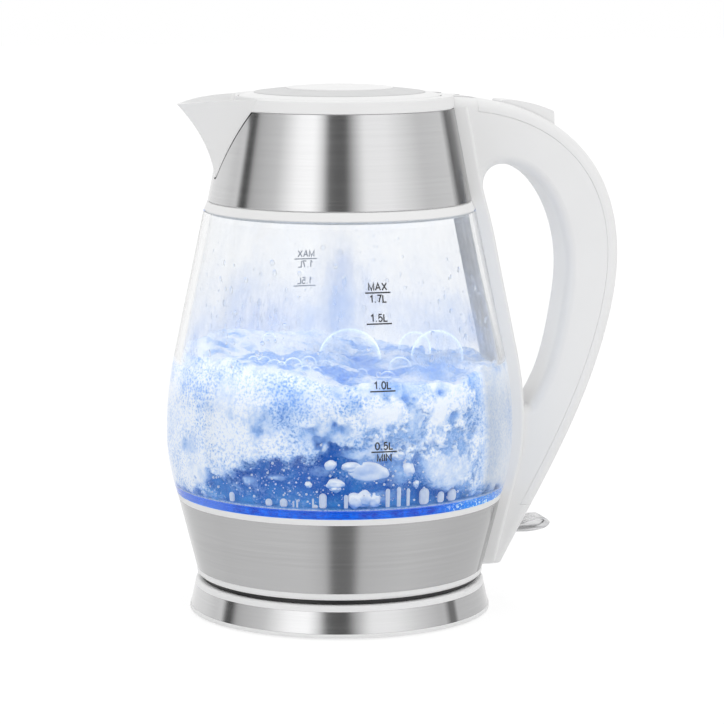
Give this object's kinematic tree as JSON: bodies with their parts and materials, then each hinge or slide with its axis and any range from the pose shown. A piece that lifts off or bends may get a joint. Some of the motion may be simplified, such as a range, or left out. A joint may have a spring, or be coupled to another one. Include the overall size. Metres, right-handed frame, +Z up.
{
  "type": "electric kettle",
  "caption": "Electric kettle: glass jug with steel collar and band, hinged lid with a button on the handle, clear rocker switch and beak, on a round power base.",
  "frame": {"origin": "centre of the foot ring's underside, on the table, on the jug's axis", "axes": "+Z up along the jug's axis, +X towards the handle, -X towards the spout, XZ is the plane of symmetry"},
  "size_m": [0.2163, 0.1636, 0.2481],
  "materials": {
    "white_plastic": "satin moulded white",
    "grey_plastic": "pale grey, fine texture",
    "black_plastic": "matt black moulding",
    "steel": "brushed around the axis",
    "fixing_steel": "plain",
    "jar_glass": "clear, polished",
    "clear_plastic": "clear, polished",
    "silicone": "translucent",
    "black_rubber": "matt",
    "brass": "plain",
    "aluminium": "cast",
    "board": "coated",
    "blue_led": "lit lamp"
  },
  "bodies": {
    "base": {"base_shell": "white_plastic", "base_steel_band": "steel", "base_lower_cover": "white_plastic", "base_foot_ring": "black_rubber", "base_screws": "fixing_steel", "cord_gland": "black_plastic"},
    "coupler": {"base_connector": "black_plastic", "connector_contacts": "brass"},
    "lid": {"lid_shell": "white_plastic", "lid_trim_ring": "grey_plastic", "lid_cap": "white_plastic", "lid_inner": "steel", "lid_seal": "silicone", "lid_screws": "fixing_steel"},
    "button": {"lid_button": "white_plastic"},
    "latch": {"latch_slider": "white_plastic"},
    "switch": {"switch_lever": "clear_plastic"},
    "jug": {"blue_leds": "blue_led", "boil_dry_discs": "fixing_steel", "button_pin": "fixing_steel", "collar_ring": "white_plastic", "control_unit": "black_plastic", "filter_frame": "white_plastic", "filter_mesh": "steel", "glass_jar": "jar_glass", "glass_seal": "silicone", "handle_body": "white_plastic", "handle_screws": "fixing_steel", "handle_spine": "white_plastic", "heat_spreader": "aluminium", "heater_plate": "steel", "heating_element": "fixing_steel", "hinge_pin": "fixing_steel", "housing_screws": "fixing_steel", "jug_bottom_cover": "white_plastic", "jug_skirt": "black_plastic", "jug_socket": "black_plastic", "latch_spring": "fixing_steel", "led_board": "board", "lid_spring": "fixing_steel", "lower_housing": "white_plastic", "lower_steel_band": "steel", "neck_seal": "silicone", "plate_seal": "silicone", "socket_contacts": "brass", "spout_gasket": "black_rubber", "spout_rim": "white_plastic", "steam_disc": "fixing_steel", "steam_tube": "silicone", "steel_collar": "steel", "switch_pin": "fixing_steel"}
  },
  "joints": [
    {"name": "jug_swivel", "type": "hinge", "parent": "base", "child": "coupler", "pos_m": [0, 0, 0.01], "axis": [0, 0, 1], "continuous": true},
    {"name": "jug_lift", "type": "slide", "parent": "coupler", "child": "jug", "axis": [0, 0, 1], "range_m": [0, 0.06]},
    {"name": "lid_hinge", "type": "hinge", "parent": "jug", "child": "lid", "pos_m": [0.058, 0, 0.2386], "axis": [0, 1, 0], "range_deg": [0, 75]},
    {"name": "button_press", "type": "hinge", "parent": "jug", "child": "button", "pos_m": [0.079, 0, 0.2338], "axis": [0, 1, 0], "range_deg": [0, 6], "stiffness_Nm_per_rad": 0.15, "springref_deg": -2.86},
    {"name": "latch_slide", "type": "slide", "parent": "jug", "child": "latch", "axis": [1, 0, 0], "range_m": [0, 0.0017], "deforming": ["latch_spring"]},
    {"name": "switch_rock", "type": "hinge", "parent": "jug", "child": "switch", "pos_m": [0.08, 0, 0.0345], "axis": [0, 1, 0], "range_deg": [-12, 0]}
  ],
  "couplings": [
    {"joint": "latch_slide", "follows": "button_press", "m_per_rad": 0.0153}
  ]
}
